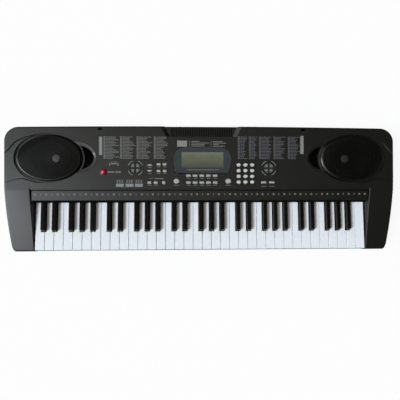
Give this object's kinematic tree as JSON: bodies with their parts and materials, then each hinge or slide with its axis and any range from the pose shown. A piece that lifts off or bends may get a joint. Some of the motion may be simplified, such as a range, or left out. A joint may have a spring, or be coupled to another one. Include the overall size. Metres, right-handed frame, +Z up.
{
  "type": "portable keyboard",
  "caption": "Portable electronic keyboard with piano keys, oval speaker pods at both ends, a display window, a button panel and a battery bay underneath.",
  "frame": {"origin": "on the table, under the middle of the case", "axes": "+X to the player's right, +Y away from the player, +Z up"},
  "size_m": [0.942, 0.3, 0.0982],
  "materials": {
    "upper_case": "fine satin texture, charcoal",
    "lower_case": "fine satin texture, near black",
    "white_keys": "smooth, cool white",
    "black_keys": "satin black",
    "speaker_grilles": "finely pierced, black",
    "speaker_drivers": "black cone and frame",
    "display_window": "clear, printed dark blue",
    "buttons": "pale grey",
    "drum_pads": "dark grey",
    "power_button": "red",
    "circuit_boards": "green solder mask",
    "key_frame": "plain grey"
  },
  "bodies": {
    "case": {"top_case": "upper_case", "bottom_case": "lower_case", "key_frame": "key_frame", "note_strip": "upper_case", "lcd_window": "display_window", "panel_board": "circuit_boards", "main_board": "circuit_boards", "speaker_left": "speaker_drivers", "speaker_right": "speaker_drivers", "speaker_grille_left": "speaker_grilles", "speaker_grille_right": "speaker_grilles"},
    "battery_cover": {"battery_cover": "lower_case"},
    "drum_pads_left": {"drum_pads_left": "drum_pads"},
    "drum_pads_right": {"drum_pads_right": "drum_pads"},
    "function_buttons": {"function_buttons": "buttons"},
    "menu_buttons": {"menu_buttons": "buttons"},
    "number_buttons": {"number_buttons": "buttons"},
    "power_button": {"power_button": "power_button"},
    "record_buttons": {"record_buttons": "buttons"},
    "black_keys_octave_1": {"black_keys_octave_1": "black_keys"},
    "black_keys_octave_2": {"black_keys_octave_2": "black_keys"},
    "black_keys_octave_3": {"black_keys_octave_3": "black_keys"},
    "black_keys_octave_4": {"black_keys_octave_4": "black_keys"},
    "black_keys_octave_5": {"black_keys_octave_5": "black_keys"},
    "white_key_c2": {"white_key_c2": "white_keys"},
    "white_key_d2": {"white_key_d2": "white_keys"},
    "white_key_e2": {"white_key_e2": "white_keys"},
    "white_key_f2": {"white_key_f2": "white_keys"},
    "white_key_g2": {"white_key_g2": "white_keys"},
    "white_key_a2": {"white_key_a2": "white_keys"},
    "white_key_b2": {"white_key_b2": "white_keys"},
    "white_key_c3": {"white_key_c3": "white_keys"},
    "white_key_d3": {"white_key_d3": "white_keys"},
    "white_key_e3": {"white_key_e3": "white_keys"},
    "white_key_f3": {"white_key_f3": "white_keys"},
    "white_key_g3": {"white_key_g3": "white_keys"},
    "white_key_a3": {"white_key_a3": "white_keys"},
    "white_key_b3": {"white_key_b3": "white_keys"},
    "white_key_c4": {"white_key_c4": "white_keys"},
    "white_key_d4": {"white_key_d4": "white_keys"},
    "white_key_e4": {"white_key_e4": "white_keys"},
    "white_key_f4": {"white_key_f4": "white_keys"},
    "white_key_g4": {"white_key_g4": "white_keys"},
    "white_key_a4": {"white_key_a4": "white_keys"},
    "white_key_b4": {"white_key_b4": "white_keys"},
    "white_key_c5": {"white_key_c5": "white_keys"},
    "white_key_d5": {"white_key_d5": "white_keys"},
    "white_key_e5": {"white_key_e5": "white_keys"},
    "white_key_f5": {"white_key_f5": "white_keys"},
    "white_key_g5": {"white_key_g5": "white_keys"},
    "white_key_a5": {"white_key_a5": "white_keys"},
    "white_key_b5": {"white_key_b5": "white_keys"},
    "white_key_c6": {"white_key_c6": "white_keys"},
    "white_key_d6": {"white_key_d6": "white_keys"},
    "white_key_e6": {"white_key_e6": "white_keys"},
    "white_key_f6": {"white_key_f6": "white_keys"},
    "white_key_g6": {"white_key_g6": "white_keys"},
    "white_key_a6": {"white_key_a6": "white_keys"},
    "white_key_b6": {"white_key_b6": "white_keys"},
    "white_key_c7": {"white_key_c7": "white_keys"}
  },
  "joints": [
    {"name": "battery_cover_swing", "type": "hinge", "parent": "case", "child": "battery_cover", "pos_m": [0, 0.02804, 0.003], "axis": [-1, 0, 0], "range_deg": [0, 85]},
    {"name": "drum_pads_left_press", "type": "slide", "parent": "case", "child": "drum_pads_left", "axis": [0, 0.0698, -0.9976], "range_m": [0, 0.0012], "stiffness_N_per_m": 300, "springref_m": -0.002},
    {"name": "drum_pads_right_press", "type": "slide", "parent": "case", "child": "drum_pads_right", "axis": [0, 0.0698, -0.9976], "range_m": [0, 0.0012], "stiffness_N_per_m": 300, "springref_m": -0.002},
    {"name": "function_buttons_press", "type": "slide", "parent": "case", "child": "function_buttons", "axis": [0, 0.0698, -0.9976], "range_m": [0, 0.0012], "stiffness_N_per_m": 300, "springref_m": -0.002},
    {"name": "menu_buttons_press", "type": "slide", "parent": "case", "child": "menu_buttons", "axis": [0, 0.0698, -0.9976], "range_m": [0, 0.0012], "stiffness_N_per_m": 300, "springref_m": -0.002},
    {"name": "number_buttons_press", "type": "slide", "parent": "case", "child": "number_buttons", "axis": [0, 0.0698, -0.9976], "range_m": [0, 0.0012], "stiffness_N_per_m": 300, "springref_m": -0.002},
    {"name": "power_button_press", "type": "slide", "parent": "case", "child": "power_button", "axis": [0, 0.0698, -0.9976], "range_m": [0, 0.0012], "stiffness_N_per_m": 300, "springref_m": -0.002},
    {"name": "record_buttons_press", "type": "slide", "parent": "case", "child": "record_buttons", "axis": [0, 0.0698, -0.9976], "range_m": [0, 0.0012], "stiffness_N_per_m": 300, "springref_m": -0.002},
    {"name": "black_keys_octave_1_press", "type": "hinge", "parent": "case", "child": "black_keys_octave_1", "pos_m": [-0.3242, 0.01904, 0.058], "axis": [1, 0, 0], "range_deg": [0, 3.28], "stiffness_Nm_per_rad": 3.5, "springref_deg": -4.41},
    {"name": "black_keys_octave_2_press", "type": "hinge", "parent": "case", "child": "black_keys_octave_2", "pos_m": [-0.1674, 0.01904, 0.058], "axis": [1, 0, 0], "range_deg": [0, 3.28], "stiffness_Nm_per_rad": 3.5, "springref_deg": -4.41},
    {"name": "black_keys_octave_3_press", "type": "hinge", "parent": "case", "child": "black_keys_octave_3", "pos_m": [-0.0106, 0.01904, 0.058], "axis": [1, 0, 0], "range_deg": [0, 3.28], "stiffness_Nm_per_rad": 3.5, "springref_deg": -4.41},
    {"name": "black_keys_octave_4_press", "type": "hinge", "parent": "case", "child": "black_keys_octave_4", "pos_m": [0.1462, 0.01904, 0.058], "axis": [1, 0, 0], "range_deg": [0, 3.28], "stiffness_Nm_per_rad": 3.5, "springref_deg": -4.41},
    {"name": "black_keys_octave_5_press", "type": "hinge", "parent": "case", "child": "black_keys_octave_5", "pos_m": [0.303, 0.01904, 0.058], "axis": [1, 0, 0], "range_deg": [0, 3.28], "stiffness_Nm_per_rad": 3.5, "springref_deg": -4.41},
    {"name": "white_key_c2_press", "type": "hinge", "parent": "case", "child": "white_key_c2", "pos_m": [-0.392, 0.01904, 0.058], "axis": [1, 0, 0], "range_deg": [0, 3.28], "stiffness_Nm_per_rad": 1.4, "springref_deg": -4.41},
    {"name": "white_key_d2_press", "type": "hinge", "parent": "case", "child": "white_key_d2", "pos_m": [-0.3696, 0.01904, 0.058], "axis": [1, 0, 0], "range_deg": [0, 3.28], "stiffness_Nm_per_rad": 1.4, "springref_deg": -4.41},
    {"name": "white_key_e2_press", "type": "hinge", "parent": "case", "child": "white_key_e2", "pos_m": [-0.3472, 0.01904, 0.058], "axis": [1, 0, 0], "range_deg": [0, 3.28], "stiffness_Nm_per_rad": 1.4, "springref_deg": -4.41},
    {"name": "white_key_f2_press", "type": "hinge", "parent": "case", "child": "white_key_f2", "pos_m": [-0.3248, 0.01904, 0.058], "axis": [1, 0, 0], "range_deg": [0, 3.28], "stiffness_Nm_per_rad": 1.4, "springref_deg": -4.41},
    {"name": "white_key_g2_press", "type": "hinge", "parent": "case", "child": "white_key_g2", "pos_m": [-0.3024, 0.01904, 0.058], "axis": [1, 0, 0], "range_deg": [0, 3.28], "stiffness_Nm_per_rad": 1.4, "springref_deg": -4.41},
    {"name": "white_key_a2_press", "type": "hinge", "parent": "case", "child": "white_key_a2", "pos_m": [-0.28, 0.01904, 0.058], "axis": [1, 0, 0], "range_deg": [0, 3.28], "stiffness_Nm_per_rad": 1.4, "springref_deg": -4.41},
    {"name": "white_key_b2_press", "type": "hinge", "parent": "case", "child": "white_key_b2", "pos_m": [-0.2576, 0.01904, 0.058], "axis": [1, 0, 0], "range_deg": [0, 3.28], "stiffness_Nm_per_rad": 1.4, "springref_deg": -4.41},
    {"name": "white_key_c3_press", "type": "hinge", "parent": "case", "child": "white_key_c3", "pos_m": [-0.2352, 0.01904, 0.058], "axis": [1, 0, 0], "range_deg": [0, 3.28], "stiffness_Nm_per_rad": 1.4, "springref_deg": -4.41},
    {"name": "white_key_d3_press", "type": "hinge", "parent": "case", "child": "white_key_d3", "pos_m": [-0.2128, 0.01904, 0.058], "axis": [1, 0, 0], "range_deg": [0, 3.28], "stiffness_Nm_per_rad": 1.4, "springref_deg": -4.41},
    {"name": "white_key_e3_press", "type": "hinge", "parent": "case", "child": "white_key_e3", "pos_m": [-0.1904, 0.01904, 0.058], "axis": [1, 0, 0], "range_deg": [0, 3.28], "stiffness_Nm_per_rad": 1.4, "springref_deg": -4.41},
    {"name": "white_key_f3_press", "type": "hinge", "parent": "case", "child": "white_key_f3", "pos_m": [-0.168, 0.01904, 0.058], "axis": [1, 0, 0], "range_deg": [0, 3.28], "stiffness_Nm_per_rad": 1.4, "springref_deg": -4.41},
    {"name": "white_key_g3_press", "type": "hinge", "parent": "case", "child": "white_key_g3", "pos_m": [-0.1456, 0.01904, 0.058], "axis": [1, 0, 0], "range_deg": [0, 3.28], "stiffness_Nm_per_rad": 1.4, "springref_deg": -4.41},
    {"name": "white_key_a3_press", "type": "hinge", "parent": "case", "child": "white_key_a3", "pos_m": [-0.1232, 0.01904, 0.058], "axis": [1, 0, 0], "range_deg": [0, 3.28], "stiffness_Nm_per_rad": 1.4, "springref_deg": -4.41},
    {"name": "white_key_b3_press", "type": "hinge", "parent": "case", "child": "white_key_b3", "pos_m": [-0.1008, 0.01904, 0.058], "axis": [1, 0, 0], "range_deg": [0, 3.28], "stiffness_Nm_per_rad": 1.4, "springref_deg": -4.41},
    {"name": "white_key_c4_press", "type": "hinge", "parent": "case", "child": "white_key_c4", "pos_m": [-0.0784, 0.01904, 0.058], "axis": [1, 0, 0], "range_deg": [0, 3.28], "stiffness_Nm_per_rad": 1.4, "springref_deg": -4.41},
    {"name": "white_key_d4_press", "type": "hinge", "parent": "case", "child": "white_key_d4", "pos_m": [-0.056, 0.01904, 0.058], "axis": [1, 0, 0], "range_deg": [0, 3.28], "stiffness_Nm_per_rad": 1.4, "springref_deg": -4.41},
    {"name": "white_key_e4_press", "type": "hinge", "parent": "case", "child": "white_key_e4", "pos_m": [-0.0336, 0.01904, 0.058], "axis": [1, 0, 0], "range_deg": [0, 3.28], "stiffness_Nm_per_rad": 1.4, "springref_deg": -4.41},
    {"name": "white_key_f4_press", "type": "hinge", "parent": "case", "child": "white_key_f4", "pos_m": [-0.0112, 0.01904, 0.058], "axis": [1, 0, 0], "range_deg": [0, 3.28], "stiffness_Nm_per_rad": 1.4, "springref_deg": -4.41},
    {"name": "white_key_g4_press", "type": "hinge", "parent": "case", "child": "white_key_g4", "pos_m": [0.0112, 0.01904, 0.058], "axis": [1, 0, 0], "range_deg": [0, 3.28], "stiffness_Nm_per_rad": 1.4, "springref_deg": -4.41},
    {"name": "white_key_a4_press", "type": "hinge", "parent": "case", "child": "white_key_a4", "pos_m": [0.0336, 0.01904, 0.058], "axis": [1, 0, 0], "range_deg": [0, 3.28], "stiffness_Nm_per_rad": 1.4, "springref_deg": -4.41},
    {"name": "white_key_b4_press", "type": "hinge", "parent": "case", "child": "white_key_b4", "pos_m": [0.056, 0.01904, 0.058], "axis": [1, 0, 0], "range_deg": [0, 3.28], "stiffness_Nm_per_rad": 1.4, "springref_deg": -4.41},
    {"name": "white_key_c5_press", "type": "hinge", "parent": "case", "child": "white_key_c5", "pos_m": [0.0784, 0.01904, 0.058], "axis": [1, 0, 0], "range_deg": [0, 3.28], "stiffness_Nm_per_rad": 1.4, "springref_deg": -4.41},
    {"name": "white_key_d5_press", "type": "hinge", "parent": "case", "child": "white_key_d5", "pos_m": [0.1008, 0.01904, 0.058], "axis": [1, 0, 0], "range_deg": [0, 3.28], "stiffness_Nm_per_rad": 1.4, "springref_deg": -4.41},
    {"name": "white_key_e5_press", "type": "hinge", "parent": "case", "child": "white_key_e5", "pos_m": [0.1232, 0.01904, 0.058], "axis": [1, 0, 0], "range_deg": [0, 3.28], "stiffness_Nm_per_rad": 1.4, "springref_deg": -4.41},
    {"name": "white_key_f5_press", "type": "hinge", "parent": "case", "child": "white_key_f5", "pos_m": [0.1456, 0.01904, 0.058], "axis": [1, 0, 0], "range_deg": [0, 3.28], "stiffness_Nm_per_rad": 1.4, "springref_deg": -4.41},
    {"name": "white_key_g5_press", "type": "hinge", "parent": "case", "child": "white_key_g5", "pos_m": [0.168, 0.01904, 0.058], "axis": [1, 0, 0], "range_deg": [0, 3.28], "stiffness_Nm_per_rad": 1.4, "springref_deg": -4.41},
    {"name": "white_key_a5_press", "type": "hinge", "parent": "case", "child": "white_key_a5", "pos_m": [0.1904, 0.01904, 0.058], "axis": [1, 0, 0], "range_deg": [0, 3.28], "stiffness_Nm_per_rad": 1.4, "springref_deg": -4.41},
    {"name": "white_key_b5_press", "type": "hinge", "parent": "case", "child": "white_key_b5", "pos_m": [0.2128, 0.01904, 0.058], "axis": [1, 0, 0], "range_deg": [0, 3.28], "stiffness_Nm_per_rad": 1.4, "springref_deg": -4.41},
    {"name": "white_key_c6_press", "type": "hinge", "parent": "case", "child": "white_key_c6", "pos_m": [0.2352, 0.01904, 0.058], "axis": [1, 0, 0], "range_deg": [0, 3.28], "stiffness_Nm_per_rad": 1.4, "springref_deg": -4.41},
    {"name": "white_key_d6_press", "type": "hinge", "parent": "case", "child": "white_key_d6", "pos_m": [0.2576, 0.01904, 0.058], "axis": [1, 0, 0], "range_deg": [0, 3.28], "stiffness_Nm_per_rad": 1.4, "springref_deg": -4.41},
    {"name": "white_key_e6_press", "type": "hinge", "parent": "case", "child": "white_key_e6", "pos_m": [0.28, 0.01904, 0.058], "axis": [1, 0, 0], "range_deg": [0, 3.28], "stiffness_Nm_per_rad": 1.4, "springref_deg": -4.41},
    {"name": "white_key_f6_press", "type": "hinge", "parent": "case", "child": "white_key_f6", "pos_m": [0.3024, 0.01904, 0.058], "axis": [1, 0, 0], "range_deg": [0, 3.28], "stiffness_Nm_per_rad": 1.4, "springref_deg": -4.41},
    {"name": "white_key_g6_press", "type": "hinge", "parent": "case", "child": "white_key_g6", "pos_m": [0.3248, 0.01904, 0.058], "axis": [1, 0, 0], "range_deg": [0, 3.28], "stiffness_Nm_per_rad": 1.4, "springref_deg": -4.41},
    {"name": "white_key_a6_press", "type": "hinge", "parent": "case", "child": "white_key_a6", "pos_m": [0.3472, 0.01904, 0.058], "axis": [1, 0, 0], "range_deg": [0, 3.28], "stiffness_Nm_per_rad": 1.4, "springref_deg": -4.41},
    {"name": "white_key_b6_press", "type": "hinge", "parent": "case", "child": "white_key_b6", "pos_m": [0.3696, 0.01904, 0.058], "axis": [1, 0, 0], "range_deg": [0, 3.28], "stiffness_Nm_per_rad": 1.4, "springref_deg": -4.41},
    {"name": "white_key_c7_press", "type": "hinge", "parent": "case", "child": "white_key_c7", "pos_m": [0.392, 0.01904, 0.058], "axis": [1, 0, 0], "range_deg": [0, 3.28], "stiffness_Nm_per_rad": 1.4, "springref_deg": -4.41}
  ]
}
